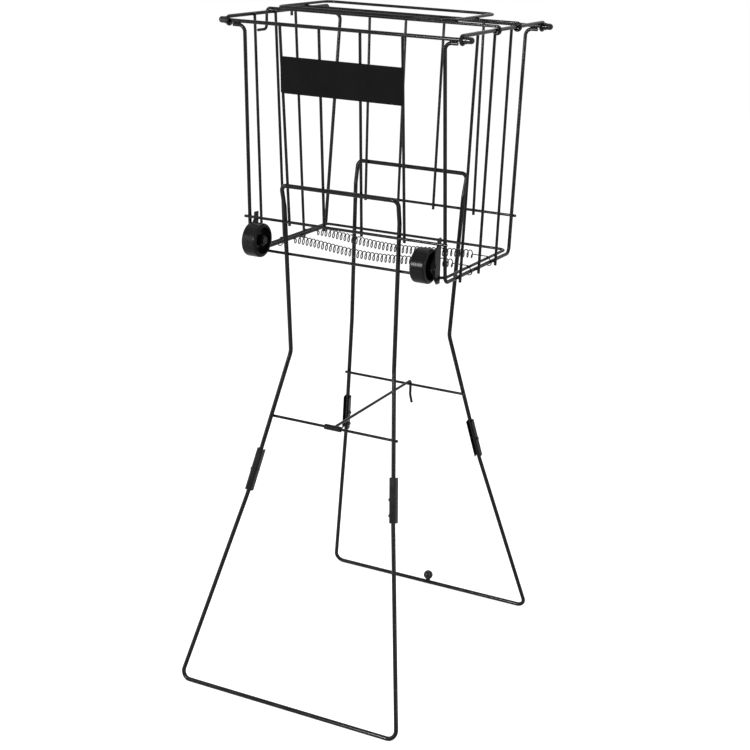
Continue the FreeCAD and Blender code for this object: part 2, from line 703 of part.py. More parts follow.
def bracket_outline():
    """The side view of a wheel bracket: a tab behind the mid rail, a round nose about the
    bolt and a foot in front of the floor ring."""
    nose = size("bracket_nose")
    back = ring_y + cross_r + weld_gap
    top_front = mid_y - cross_r - weld_gap
    foot = size("bracket_foot")
    points = [Vector(0, -back, ring_z - foot), Vector(0, -back, mid_z + foot),
              Vector(0, -top_front, mid_z + foot), Vector(0, -top_front, mid_z - cross_r - weld_gap)]
    nose_centre = Vector(0, -wheel_y, wheel_z)
    upper = points[-1] - nose_centre
    lower_start = Vector(0, -top_front, ring_z - foot)
    lower = lower_start - nose_centre
    turn_up = math.acos(nose / upper.Length)
    turn_down = math.acos(nose / lower.Length)
    angle_up = math.atan2(upper.z, upper.y) + turn_up
    angle_down = math.atan2(lower.z, lower.y) - turn_down + 2 * math.pi

    def on_nose(angle):
        return nose_centre + Vector(0, nose * math.cos(angle), nose * math.sin(angle))

    edges = [Part.LineSegment(points[index], points[index + 1]).toShape() for index in range(3)]
    edges.append(Part.LineSegment(points[-1], on_nose(angle_up)).toShape())
    edges.append(Part.Arc(on_nose(angle_up), on_nose((angle_up + angle_down) / 2),
                          on_nose(angle_down)).toShape())
    edges.append(Part.LineSegment(on_nose(angle_down), lower_start).toShape())
    edges.append(Part.LineSegment(lower_start, points[0]).toShape())
    return Part.Face(Part.Wire(edges))


def bracket(name, sx):
    """The flat strip that carries a wheel bolt, with the hole for it."""
    plate = document.addObject("Part::Feature", name + "_plate")
    inner = wheel_x + bracket_inner
    sheet_face = bracket_outline()
    sheet_face.translate(x_axis * sx * inner)
    plate.Shape = sheet_face.extrude(x_axis * sx * size("bracket_thickness"))
    hole = document.addObject("Part::Cylinder", name + "_hole")
    hole.setExpression("Radius", "Sizes.axle_d / 2 + Sizes.running_gap")
    hole.setExpression("Height", "Sizes.bracket_thickness * 3")
    start = Vector(sx * (inner - size("bracket_thickness")), -wheel_y, wheel_z)
    hole.Placement = Placement(start, Rotation(z_axis, x_axis * sx))
    cut = document.addObject("Part::Cut", name)
    cut.Base = plate
    cut.Tool = hole
    return cut


for side, sx in SIDES:
    keep(wheel(side + "_wheel_body", sx), side + "_wheel")
    keep(axle(side + "_axle_body", sx), side + "_wheel_bolt")
    keep(nut(side + "_nut_body", sx), side + "_wheel_nut")
    keep(bracket(side + "_bracket_cut", sx), side + "_wheel_bracket")

# Leg frames

LEG_FRAMES = (("front", -1), ("rear", 1))
foot_z = leg_r
knee_z = size("knee_height")
leg_mid_y = mid_y - cross_r - leg_r - weld_gap
leg_ring_y = ring_y + cross_r + leg_r + weld_gap
leg_slope = (leg_mid_y - leg_ring_y) / (mid_z - ring_z)
loop_y = wire_y(loop_z) + cross_r + leg_r + weld_gap
kink_z = loop_z - size("loop_kink_share") * (loop_z - mid_z)
pivot_z = size("pivot_height")
elbow_z = pivot_z - size("channel_length") / 2 - size("elbow_gap")


def leg_y(height):
    """Middle plane to the upright of a leg frame, behind the mid rail, before the ring."""
    return leg_ring_y + leg_slope * (height - ring_z)


def leg_x(height):
    """Half width of the upright part of a leg frame."""
    share = (height - knee_z) / (loop_z - knee_z)
    return size("leg_bend_x") + (size("leg_top_x") - size("leg_bend_x")) * share


def leg_shift(sy):
    return size("front_leg_shift") if sy < 0 else size("rear_leg_shift")


def knee(sx, sy):
    return Vector(leg_shift(sy) + sx * size("leg_bend_x"), sy * leg_y(knee_z), knee_z)


def elbow(sx, sy):
    return Vector(leg_shift(sy) + sx * size("elbow_x"), sy * size("elbow_y"), elbow_z)


def foot_corner(sx, sy):
    return Vector(leg_shift(sy) + sx * size("foot_x"), sy * size("foot_y"), foot_z)


def on_leg(sx, sy, height):
    """A place on the sloping part of a leg, from its knee down to its elbow."""
    share = (knee_z - height) / (knee_z - elbow_z)
    return knee(sx, sy) + (elbow(sx, sy) - knee(sx, sy)) * share


def leg_axes(sx, sy):
    """Down the leg, inwards across it, and across the channel."""
    down = (elbow(sx, sy) - knee(sx, sy)).normalize()
    inwards = Vector(0, sy * down.z, -sy * down.y).normalize()
    return down, inwards, down.cross(inwards)


end_gap = 2 * swing_gap
for face, sy in LEG_FRAMES:
    points = []
    for sx in (-1, 1):
        down = leg_axes(sx, sy)[0]
        half_frame = [on_leg(sx, sy, pivot_z) - down * (leg_r + end_gap),
                      knee(sx, sy),
                      Vector(leg_shift(sy) + sx * leg_x(kink_z), sy * leg_y(kink_z), kink_z),
                      Vector(leg_shift(sy) + sx * size("leg_top_x"), sy * loop_y, loop_z)]
        points += half_frame if sx < 0 else half_frame[::-1]
    bends = [size("knee_bend"), size("loop_bend"), size("loop_bend")]
    keep(swept_wire(face + "_upper_rod", "leg_wire", bent_edges(points, bends + bends[::-1])),
         face + "_upper_leg")

brace_z = size("brace_height")


def brace_centre(sy):
    """Middle of a brace bar, which lies on the inner side of both legs."""
    inwards = leg_axes(1, sy)[1]
    place = on_leg(1, sy, brace_z) + inwards * (leg_r + brace_r + weld_gap)
    return Vector(leg_shift(sy), place.y, place.z)


for face, sy in LEG_FRAMES:
    half_length = on_leg(1, sy, brace_z).x - leg_shift(sy) + size("brace_overhang")
    centre = brace_centre(sy)
    keep(straight_wire(face + "_brace_rod", "brace_wire", centre - x_axis * half_length,
                       centre + x_axis * half_length), face + "_leg_brace")


def lower_leg(name, sy):
    """The folding half: two legs with round, drilled ends, elbows, and the foot bar."""
    end_round = leg_r - swing_gap
    tops = [on_leg(sx, sy, pivot_z) - leg_axes(sx, sy)[0] * end_round for sx in (-1, 1)]
    points = [tops[0], elbow(-1, sy), foot_corner(-1, sy), foot_corner(1, sy), elbow(1, sy), tops[1]]
    bends = [size("elbow_bend"), size("foot_bend"), size("foot_bend"), size("elbow_bend")]
    rod = swept_wire(name + "_rod", "leg_wire", bent_edges(points, bends))
    document.recompute()
    rims = []
    for index, edge in enumerate(rod.Shape.Edges, 1):
        if edge.Closed and min((edge.CenterOfMass - top).Length for top in tops) < weld_gap:
            rims.append((index, end_round, end_round))
    rounded = document.addObject("Part::Fillet", name + "_rounded")
    rounded.Base = rod
    rounded.Edges = rims
    drill = document.addObject("Part::Cylinder", name + "_drill")
    drill.setExpression("Radius", "Sizes.rivet_d / 2 + Sizes.running_gap")
    left = on_leg(-1, sy, pivot_z) - x_axis * 2 * leg_r
    right = on_leg(1, sy, pivot_z) + x_axis * 2 * leg_r
    drill.Height = (right - left).Length
    drill.Placement = Placement(left, Rotation(z_axis, x_axis))
    cut = document.addObject("Part::Cut", name)
    cut.Base = rounded
    cut.Tool = drill
    return cut


for face, sy in LEG_FRAMES:
    keep(lower_leg(face + "_lower_cut", sy), face + "_lower_leg")

wall_inner = leg_r + size("channel_side_gap")
wall_outer = wall_inner + size("channel_wall")
web_inner = leg_r + swing_gap


def leg_channel(name, sx, sy):
    """A folded channel, open inwards: its web is the stop of the leg that folds inwards."""
    body = document.addObject("PartDesign::Body", name)
    half = "leg_wire / 2 + channel_side_gap"
    outer = half + " + channel_wall"
    web = "-1 * leg_wire / 2 - swing_gap"
    lip = "leg_wire / 2 + channel_lip"
    minus_half = "-1 * leg_wire / 2 - channel_side_gap"
    minus_outer = minus_half + " - channel_wall"
    profile = outline(body, name + "_profile", "XY_Plane", [
        (minus_outer, lip), (minus_outer, web + " - channel_wall"), (outer, web + " - channel_wall"),
        (outer, lip), (half, lip), (half, web), (minus_half, web), (minus_half, lip)])
    pad(body, name + "_folded", profile, "channel_length", True)
    length = size("channel_length") - weld_gap
    web_back = -web_inner - size("channel_wall")
    round_edges(body, name + "_folds", "channel_wall * 2", lambda edge: edge.Length > length
                and abs(edge.BoundBox.YMax - web_back) < weld_gap)
    down, inwards, across = leg_axes(sx, sy)
    axes = Matrix(across.x, inwards.x, -down.x, 0, across.y, inwards.y, -down.y, 0,
                  across.z, inwards.z, -down.z, 0, 0, 0, 0, 1)
    body.Placement = Placement(on_leg(sx, sy, pivot_z), Placement(axes).Rotation)
    drill = document.addObject("Part::Cylinder", name + "_drill")
    drill.setExpression("Radius", "Sizes.rivet_d / 2 + Sizes.running_gap")
    drill.Height = 4 * wall_outer
    drill.Placement = Placement(on_leg(sx, sy, pivot_z) - x_axis * 2 * wall_outer,
                                Rotation(z_axis, x_axis))
    cut = document.addObject("Part::Cut", name + "_cut")
    cut.Base = body
    cut.Tool = drill
    return cut


def dome(name, base, outwards, diameter, height):
    """A domed head with a flat underside at base, facing outwards."""
    feature = document.addObject("Part::Sphere", name)
    across = "Sizes.%s" % diameter
    rise = "Sizes.%s" % height
    radius = "(%s * %s / 4 + %s * %s) / (2 * %s)" % (across, across, rise, rise, rise)
    feature.setExpression("Radius", radius)
    feature.setExpression("Angle1", "asin(1 - %s / (%s))" % (rise, radius))
    document.recompute()
    sunk = feature.Radius.Value - size(height)
    feature.Placement = Placement(base - outwards * sunk, Rotation(z_axis, outwards))
    return feature


def pin(name, diameter, start, end):
    """A round pin between two places."""
    feature = document.addObject("Part::Cylinder", name)
    feature.setExpression("Radius", "Sizes.%s / 2" % diameter)
    feature.Height = (end - start).Length
    feature.Placement = Placement(start, Rotation(z_axis, end - start))
    return feature


def pivot_rivet(name, sx, sy):
    """A rivet whose shank lies on the fold axis and whose two heads lie flat on the channel."""
    across = leg_axes(sx, sy)[2]
    inner = across * (-sx * math.copysign(1, across.x))
    place = on_leg(sx, sy, pivot_z)
    reach = wall_outer / abs(across.x)
    shank = pin(name + "_shank", "rivet_d", place - x_axis * sx * (reach + weld_gap),
                place + x_axis * sx * (reach + weld_gap))
    inner_face = place - x_axis * sx * reach + inner * weld_gap
    outer_face = place + x_axis * sx * reach - inner * weld_gap
    head = dome(name + "_head", inner_face, inner, "rivet_head_d", "rivet_head")
    flat = pin(name + "_tail", "rivet_tail_d", outer_face, outer_face - inner * size("rivet_tail"))
    joined = document.addObject("Part::MultiFuse", name)
    joined.Shapes = [shank, head, flat]
    return joined


def lock_stud(name, sx, sy):
    """A domed stud set in the inner wall of a channel below the rivet."""
    down, inwards, across = leg_axes(sx, sy)
    inner = across * (-sx * math.copysign(1, across.x))
    wall_face = on_leg(sx, sy, pivot_z) + down * size("stud_drop") + inner * (wall_outer + weld_gap)
    shank = pin(name + "_shank", "rivet_d", wall_face - inner * (size("channel_wall") + weld_gap),
                wall_face + inner * weld_gap)
    head = dome(name + "_head", wall_face, inner, "rivet_head_d", "rivet_head")
    joined = document.addObject("Part::MultiFuse", name)
    joined.Shapes = [shank, head]
    return joined


STUD_LEGS = ((1, -1), (-1, 1))
rivets = []
studs = []
for face, sy in LEG_FRAMES:
    for side, sx in SIDES:
        name = "%s_%s_leg_channel" % (face, side)
        channel = leg_channel(name + "_body", sx, sy)
        rivets.append(pivot_rivet(name + "_rivet", sx, sy))
        if (sx, sy) in STUD_LEGS:
            stud = lock_stud(name + "_stud", sx, sy)
            studs.append(stud)
            down, inwards, across = leg_axes(sx, sy)
            inner = across * (-sx * math.copysign(1, across.x))
            place = on_leg(sx, sy, pivot_z) + down * size("stud_drop")
            hole = document.addObject("Part::Cylinder", name + "_stud_hole")
            hole.setExpression("Radius", "Sizes.rivet_d / 2 + Sizes.running_gap")
            hole.setExpression("Height", "Sizes.leg_wire")
            hole.Placement = Placement(place + inner * leg_r, Rotation(z_axis, inner))
            drilled = document.addObject("Part::Cut", name + "_drilled")
            drilled.Base = channel
            drilled.Tool = hole
            channel = drilled
        keep(channel, name)


def group(name, members):
    """Like fasteners that share one node."""
    feature = document.addObject("Part::Compound", name + "_group")
    feature.Links = members
    return keep(feature, name)


group("leg_pivot_rivets", rivets)
group("lock_studs", studs)

# Stay rod with its hinge sleeve, and the knob on the rear foot bar

body = document.addObject("PartDesign::Body", "stay_sleeve_body")
pad(body, "stay_sleeve_tube", circle(body, "stay_sleeve_outside", "YZ_Plane", "sleeve_d"),
    "sleeve_length", True)
through_hole(body, "stay_sleeve_bore", circle(body, "stay_sleeve_inside", "YZ_Plane",
                                              "brace_wire + 2 * running_gap"))
front_brace = brace_centre(-1)
rear_brace = brace_centre(1)
body.Placement = Placement(front_brace, Rotation())
keep(body, "stay_sleeve")

stay_start = front_brace + y_axis * (size("sleeve_d") / 2 + weld_gap)
stay_bend = 2 * brace_r + swing_gap
tail_y = rear_brace.y + stay_bend
to_brace = rear_brace - stay_start
stay_climb = math.atan2(to_brace.z, to_brace.y) + math.asin(stay_bend / to_brace.Length)
stay_z = stay_start.z + (tail_y - stay_start.y) * math.tan(stay_climb)
stay_end_z = stay_z - size("stay_tail")
stay_points = [stay_start, Vector(stay_start.x, tail_y, stay_z), Vector(stay_start.x, tail_y, stay_end_z),
               Vector(stay_start.x, tail_y + size("stay_kick_out"), stay_end_z - size("stay_kick"))]
keep(swept_wire("stay_rod_wire", "brace_wire", bent_edges(stay_points, [stay_bend, stay_bend])),
     "stay_rod")

knob_base = foot_z + leg_r + weld_gap
ball = document.addObject("Part::Sphere", "knob_ball")
ball.setExpression("Radius", "Sizes.knob_d / 2")
knob_foot = Vector(leg_shift(1), size("foot_y"), knob_base)
ball_centre = knob_foot + z_axis * (size("knob_stem") + size("knob_d") / 2)
ball.Placement = Placement(ball_centre, Rotation())
stem = pin("knob_stem", "knob_stem_d", knob_foot, ball_centre)
knob = document.addObject("Part::MultiFuse", "knob_joined")
knob.Shapes = [ball, stem]
keep(knob, "foot_knob")

# Lid

lid_eye_r = rail_r + lid_r + swing_gap
lid_z = rim_z + lid_eye_r
hinge_centre = Vector(rim_half_width, 0, rim_z)
hook_x = -size("lid_hook_x")
hook_z = lid_z - size("lid_hook_drop")
for name, y in (("front_lid_wire", size("lid_front_y")), ("back_lid_wire", size("lid_back_y"))):
    edges = ring_edges(hinge_centre + y_axis * y, lid_eye_r, x_axis, z_axis,
                       90 - eye_wrap, 90)
    points = [hinge_centre + y_axis * y + z_axis * lid_eye_r, Vector(hook_x, y, lid_z)]
    bends = [size("lid_hook_bend")]
    if name.startswith("front"):
        points += [Vector(hook_x, y, hook_z), Vector(hook_x, y - size("lid_tail"), hook_z)]
        bends.append(size("lid_hook_bend"))
    else:
        points.append(Vector(hook_x, y, hook_z + size("lid_hook_drop") / 2))
    keep(swept_wire(name + "_rod", "lid_wire", edges + bent_edges(points, bends)), name)

loop_z_lid = lid_z + lid_r + lid_r + weld_gap
corners = [Vector(size("lid_loop_left"), size("lid_loop_front"), loop_z_lid),
           Vector(size("lid_loop_right"), size("lid_loop_front"), loop_z_lid),
           Vector(size("lid_loop_right"), size("lid_loop_back"), loop_z_lid),
           Vector(size("lid_loop_left"), size("lid_loop_back"), loop_z_lid)]
keep(swept_wire("lid_loop_rod", "lid_wire", loop_edges(corners, size("lid_loop_bend"))), "lid_loop")

# Check every feature, then write each sub-part to a file of its own

document.recompute()
for feature in document.Objects:
    if "Invalid" in feature.State or "Error" in feature.State:
        raise RuntimeError("feature failed: " + feature.Name)
os.makedirs("parts", exist_ok=True)
for feature in nodes:
    shape = feature.Shape
    if shape.isNull() or not shape.isValid() or shape.Volume <= 0:
        raise RuntimeError("bad shape: " + feature.Label)
    shape.exportStep("parts/%s.step" % feature.Label)
print(len(nodes), "sub-parts")
whole = Part.makeCompound([feature.Shape for feature in nodes]).BoundBox
print("overall", [round(value, 2) for value in
                  (whole.XMin, whole.XMax, whole.YMin, whole.YMax, whole.ZMin, whole.ZMax)])
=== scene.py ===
# %% [markdown]
# # A wire ball hopper
# The hopper is a basket of enamelled steel wire on two wire leg frames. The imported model
# already holds every rod at its true size, so this lesson adds what a drawing leaves out:
# the finish of each piece, the beads of weld metal where rods meet, the parting lines of
# the wheels, and the light and camera of a studio photograph.

# %% Load the frame
import json
import math
import bpy
import bmesh
from mathutils import Matrix, Vector


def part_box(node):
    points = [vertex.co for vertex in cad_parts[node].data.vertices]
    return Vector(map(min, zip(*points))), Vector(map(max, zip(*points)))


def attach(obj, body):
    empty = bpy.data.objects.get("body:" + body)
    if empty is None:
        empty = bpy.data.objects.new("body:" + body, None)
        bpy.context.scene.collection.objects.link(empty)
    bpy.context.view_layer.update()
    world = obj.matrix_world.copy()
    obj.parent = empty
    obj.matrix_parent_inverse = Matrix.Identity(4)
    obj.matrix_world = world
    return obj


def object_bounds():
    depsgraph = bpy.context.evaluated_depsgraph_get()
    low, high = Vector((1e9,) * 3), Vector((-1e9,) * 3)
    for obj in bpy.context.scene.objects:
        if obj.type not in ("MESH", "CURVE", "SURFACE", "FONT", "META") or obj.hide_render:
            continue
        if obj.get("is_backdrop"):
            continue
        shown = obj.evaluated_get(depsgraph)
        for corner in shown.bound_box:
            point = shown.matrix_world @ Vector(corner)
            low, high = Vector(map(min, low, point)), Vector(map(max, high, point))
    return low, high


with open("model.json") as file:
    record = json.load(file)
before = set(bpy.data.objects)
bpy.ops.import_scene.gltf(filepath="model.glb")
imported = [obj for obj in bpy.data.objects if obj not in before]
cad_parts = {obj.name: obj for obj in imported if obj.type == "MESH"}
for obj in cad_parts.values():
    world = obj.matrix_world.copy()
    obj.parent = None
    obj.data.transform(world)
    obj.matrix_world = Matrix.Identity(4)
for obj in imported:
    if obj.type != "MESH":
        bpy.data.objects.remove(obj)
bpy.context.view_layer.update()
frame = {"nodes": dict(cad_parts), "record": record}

nodes = frame["nodes"]

# %% [markdown]
# ## Camera
# The picture was taken from the front, a little to the right and a little above. A fit of
# the basket's corners and the feet gives the angle, the distance and the lens. A studio
# lens is shifted so that upright wires stay parallel. Only a small part of that shift is
# kept here, because it stays on when the camera goes round to the sides and the back,
# where a full shift would push the basket out of the picture.

# %% Camera
VIEW_AZIMUTH = math.radians(26.32)
VIEW_HEIGHT = math.radians(16.27)
VIEW_ROLL = math.radians(2.15)
VIEW_DISTANCE = 2.238
VIEW_TARGET = Vector((0.0423, 0.0, 0.4939))
IMAGE_PIXELS = 750
FOCAL_PIXELS = 1577.2
CENTRE_PIXEL = (405.0, 335.0)
SENSOR_WIDTH = 36.0

camera_data = bpy.data.cameras.new("studio_camera")
camera_data.sensor_width = SENSOR_WIDTH
camera_data.lens = FOCAL_PIXELS / IMAGE_PIXELS * SENSOR_WIDTH
camera_data.shift_x = (IMAGE_PIXELS / 2 - CENTRE_PIXEL[0]) / IMAGE_PIXELS
camera_data.shift_y = (CENTRE_PIXEL[1] - IMAGE_PIXELS / 2) / IMAGE_PIXELS
camera = bpy.data.objects.new("studio_camera", camera_data)
bpy.context.scene.collection.objects.link(camera)
bpy.context.scene.camera = camera

back = Vector((math.sin(VIEW_AZIMUTH) * math.cos(VIEW_HEIGHT),
               -math.cos(VIEW_AZIMUTH) * math.cos(VIEW_HEIGHT), math.sin(VIEW_HEIGHT)))
level = Vector((math.cos(VIEW_AZIMUTH), math.sin(VIEW_AZIMUTH), 0.0))
upward = back.cross(level)
right = level * math.cos(VIEW_ROLL) + upward * math.sin(VIEW_ROLL)
up = upward * math.cos(VIEW_ROLL) - level * math.sin(VIEW_ROLL)
turn = Matrix((right, up, back)).transposed().to_4x4()
camera.matrix_world = Matrix.Translation(VIEW_TARGET + back * VIEW_DISTANCE) @ turn
print("lens", round(camera_data.lens, 1), "mm")

# %% [markdown]
# ## World and floor
# The ground is white and so is everything around it. A photographer would curve a roll of
# white paper up behind the object. A plain floor under a white world looks the same here
# and works from every side. The world is white where the camera or a glossy surface sees
# it, and dimmer as a light, so the ground keeps a soft shadow. The floor glows a little for
# the camera alone, which lifts it to white without putting more light on the object.

# %% World
WORLD_LIGHT = 0.55
world = bpy.data.worlds.new("studio")
bpy.context.scene.world = world
world.use_nodes = True


def white_where_seen(tree, other_strength):
    """A strength of 1 for camera, glossy and transmission rays, and another for the rest."""
    path = tree.nodes.new("ShaderNodeLightPath")
    seen = tree.nodes.new("ShaderNodeMath")
    seen.operation = "MAXIMUM"
    tree.links.new(path.outputs["Is Camera Ray"], seen.inputs[0])
    tree.links.new(path.outputs["Is Glossy Ray"], seen.inputs[1])
    clear = tree.nodes.new("ShaderNodeMath")
    clear.operation = "MAXIMUM"
    tree.links.new(seen.outputs[0], clear.inputs[0])
    tree.links.new(path.outputs["Is Transmission Ray"], clear.inputs[1])
    strength = tree.nodes.new("ShaderNodeMapRange")
    strength.inputs["To Min"].default_value = other_strength
    strength.inputs["To Max"].default_value = 1.0
    tree.links.new(clear.outputs[0], strength.inputs["Value"])
    return strength.outputs["Result"]


background = world.node_tree.nodes["Background"]
background.inputs["Color"].default_value = (1.0, 1.0, 1.0, 1.0)
world.node_tree.links.new(white_where_seen(world.node_tree, WORLD_LIGHT),
                          background.inputs["Strength"])
bpy.context.scene.view_settings.view_transform = "Standard"
print("world light", WORLD_LIGHT)

# %% Floor
FLOOR_SIZE = 12.0
floor_mesh = bpy.data.meshes.new("floor")
shape = bmesh.new()
bmesh.ops.create_grid(shape, x_segments=1, y_segments=1, size=FLOOR_SIZE / 2)
shape.to_mesh(floor_mesh)
shape.free()
floor = bpy.data.objects.new("floor", floor_mesh)
bpy.context.scene.collection.objects.link(floor)
floor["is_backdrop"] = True
print("floor", FLOOR_SIZE, "m wide")

# %% White paper for the floor
PAPER_COLOUR = (0.94, 0.94, 0.94, 1.0)
PAPER_ROUGHNESS = 0.9
PAPER_GLOSS = 0.1
FLOOR_GLOW = 0.5
paper = bpy.data.materials.new("white_paper")
paper.use_nodes = True
tree = paper.node_tree
surface = tree.nodes["Principled BSDF"]
surface.inputs["Base Color"].default_value = PAPER_COLOUR
surface.inputs["Roughness"].default_value = PAPER_ROUGHNESS
surface.inputs["Specular IOR Level"].default_value = PAPER_GLOSS
surface.inputs["Emission Color"].default_value = (1.0, 1.0, 1.0, 1.0)
path = tree.nodes.new("ShaderNodeLightPath")
glow = tree.nodes.new("ShaderNodeMath")
glow.operation = "MULTIPLY"
glow.inputs[1].default_value = FLOOR_GLOW
tree.links.new(path.outputs["Is Camera Ray"], glow.inputs[0])
tree.links.new(glow.outputs[0], surface.inputs["Emission Strength"])
floor_mesh.materials.append(paper)
print("paper ready")

# %% [markdown]
# ## Lamps
# Black enamel shows mostly what it mirrors, so the place and shape of a lamp matter more
# than its power. A tall lamp on the left draws one pale line down each rod, left of its
# middle. A narrow strip on the right gives the line on the other side, and a wide lamp
# overhead lights the lid. A small bright lamp, nearer to the camera, makes the spot on the
# tread of a wheel.

# %% Lamps
BASKET_MIDDLE = (0.0, 0.0, 0.6)


def soft_lamp(name, place, width, height, power):
    """A rectangular lamp that faces the middle of the basket."""
    data = bpy.data.lights.new(name, "AREA")
    data.shape = "RECTANGLE"
    data.size = width
    data.size_y = height
    data.energy = power
    lamp = bpy.data.objects.new(name, data)
    bpy.context.scene.collection.objects.link(lamp)
    lamp.location = place
    lamp.rotation_euler = (Vector(BASKET_MIDDLE) - Vector(place)).to_track_quat("-Z", "Y").to_euler()
    print(name, power, "W")


soft_lamp("tall_key_lamp", place=(-1.5, -1.7, 0.85), width=0.36, height=1.6, power=16.0)
soft_lamp("small_bright_lamp", place=(-0.7, -2.08, 1.09), width=0.18, height=0.5, power=28.0)
soft_lamp("right_strip_lamp", place=(2.1, -0.9, 0.9), width=0.3, height=1.6, power=14.0)
soft_lamp("top_lamp", place=(0.3, 0.6, 2.9), width=1.6, height=1.6, power=14.0)

# %% [markdown]
# ## Black enamel
# The wires are welded bare, washed, and then coated and baked. The film is black and
# glossy but never flat. It pulls into shallow waves along a rod, it has a faint orange
# peel, and it is a little duller where it is thin. A slow noise changes tone and
# roughness and a finer one makes the bump. Both read Object coordinates, so the pattern
# stays in place when a piece moves. The reflection of a black film is most of what is
# seen, so its specular level is kept low, or white surroundings would turn it grey.

# %% Helpers for the finishes
TONE_DETAIL = 3.0
GRAIN_DETAIL = 2.0
GRAIN_STRENGTH = 0.35
NOISE_MIDDLE = (0.3, 0.7)
RAMP_ENDS = (0.35, 0.65)


def pattern(tree, scale, detail, stretch=(1.0, 1.0, 1.0)):
    """Noise on Object coordinates, drawn out along one axis if asked."""
    place = tree.nodes.new("ShaderNodeTexCoord")
    mapping = tree.nodes.new("ShaderNodeMapping")
    mapping.inputs["Scale"].default_value = stretch
    noise = tree.nodes.new("ShaderNodeTexNoise")
    noise.inputs["Scale"].default_value = scale
    noise.inputs["Detail"].default_value = detail
    tree.links.new(place.outputs["Object"], mapping.inputs["Vector"])
    tree.links.new(mapping.outputs["Vector"], noise.inputs["Vector"])
    return noise.outputs["Fac"]


def between(tree, value, low, high):
    """Spread the middle of a noise over a range."""
    spread = tree.nodes.new("ShaderNodeMapRange")
    spread.inputs["From Min"].default_value = NOISE_MIDDLE[0]
    spread.inputs["From Max"].default_value = NOISE_MIDDLE[1]
    spread.inputs["To Min"].default_value = low
    spread.inputs["To Max"].default_value = high
    tree.links.new(value, spread.inputs["Value"])
    return spread.outputs["Result"]


def two_tones(tree, value, dark, light):
    """A ramp between two close tones of one colour."""
    ramp = tree.nodes.new("ShaderNodeValToRGB")
    for stop, place, tone in zip(ramp.color_ramp.elements, RAMP_ENDS, (dark, light)):
        stop.position = place
        stop.color = (*tone, 1.0)
    tree.links.new(value, ramp.inputs["Fac"])
    return ramp.outputs["Color"]


def raised(tree, value, strength, distance):
    """A bump from a height between 0 and 1."""
    bump = tree.nodes.new("ShaderNodeBump")
    bump.inputs["Strength"].default_value = strength
    bump.inputs["Distance"].default_value = distance
    tree.links.new(value, bump.inputs["Height"])
    return bump.outputs["Normal"]


def finish_of(name, tones, rough, gloss, tone_scale, grain_scale, grain_depth):
    """A material with a slow change of tone and roughness and a fine surface grain."""
    material = bpy.data.materials.new(name)
    material.use_nodes = True
    tree = material.node_tree
    surface = tree.nodes["Principled BSDF"]
    surface.inputs["Specular IOR Level"].default_value = gloss
    tone = pattern(tree, tone_scale, TONE_DETAIL)
    grain = pattern(tree, grain_scale, GRAIN_DETAIL)
    tree.links.new(two_tones(tree, tone, *tones), surface.inputs["Base Color"])
    tree.links.new(between(tree, tone, *rough), surface.inputs["Roughness"])
    tree.links.new(raised(tree, grain, GRAIN_STRENGTH, grain_depth), surface.inputs["Normal"])
    print(name, "ready")
    return material, surface


# %% Enamel
ENAMEL_FILM = {
    "tones": ((0.002, 0.002, 0.002), (0.005, 0.0048, 0.0045)),
    "rough": (0.1, 0.2),
    "gloss": 0.17,
    "tone_scale": 60.0,
    "grain_scale": 420.0,
    "grain_depth": 0.00004,
}
enamel, surface = finish_of("black_enamel", **ENAMEL_FILM)

# %% [markdown]
# ## Scuffs where the foot bars stand
# The foot bars are set down and dragged on courts, and the film wears first along their
# underside. Height is enough to find that place, because the object stands at rest with
# its foot bars on the ground: below a few millimetres the enamel turns rougher and a
# little greyer, broken up by a noise so that it never reads as a painted line.

# %% Enamel of the foot bars
SCUFF_TOP = 0.0022
SCUFF_FADE = 0.0012
SCUFF_SCALE = 140.0
SCUFF_DETAIL = 4.0
SCUFF_STRETCH = (1.0, 3.0, 3.0)
RUBBED = {
    "Roughness": (0.62, 0.62, 0.62, 1.0),
    "Base Color": (0.045, 0.043, 0.041, 1.0),
}


def scuffed(material, surface):
    """Roughen and lighten the lowest part of a foot bar in patches."""
    tree = material.node_tree
    place = tree.nodes.new("ShaderNodeTexCoord")
    split = tree.nodes.new("ShaderNodeSeparateXYZ")
    tree.links.new(place.outputs["Object"], split.inputs["Vector"])
    low = tree.nodes.new("ShaderNodeMapRange")
    low.inputs["From Min"].default_value = SCUFF_TOP + SCUFF_FADE
    low.inputs["From Max"].default_value = SCUFF_TOP - SCUFF_FADE
    tree.links.new(split.outputs["Z"], low.inputs["Value"])
    patches = between(tree, pattern(tree, SCUFF_SCALE, SCUFF_DETAIL, SCUFF_STRETCH), 0.0, 1.0)
    worn = tree.nodes.new("ShaderNodeMath")
    worn.operation = "MULTIPLY"
    tree.links.new(low.outputs["Result"], worn.inputs[0])
    tree.links.new(patches, worn.inputs[1])
    for socket, rubbed in RUBBED.items():
        before = surface.inputs[socket].links[0].from_socket
        mix = tree.nodes.new("ShaderNodeMix")
        mix.data_type = "RGBA"
        tree.links.new(worn.outputs[0], mix.inputs["Factor"])
        tree.links.new(before, mix.inputs["A"])
        mix.inputs["B"].default_value = rubbed
        tree.links.new(mix.outputs["Result"], surface.inputs[socket])


foot_enamel, surface = finish_of("black_enamel_scuffed_below", **ENAMEL_FILM)
scuffed(foot_enamel, surface)
print("scuffs below", round((SCUFF_TOP + SCUFF_FADE) * 1000, 1), "mm")

# %% [markdown]
# ## Springs, caps, hardware and label
# The springs are thin music wire under the same black film, duller because the film is
# thin. End caps and the knob are moulded plastic, glossy from a polished mould. Bolts, nuts
# and rivets are steel with a black oxide, which is still a metal and mirrors a little. The
# label place stays bare: a flat plate under a matt film. One helper makes them all, since
# they differ only in tone, roughness, gloss and the size of their grain.

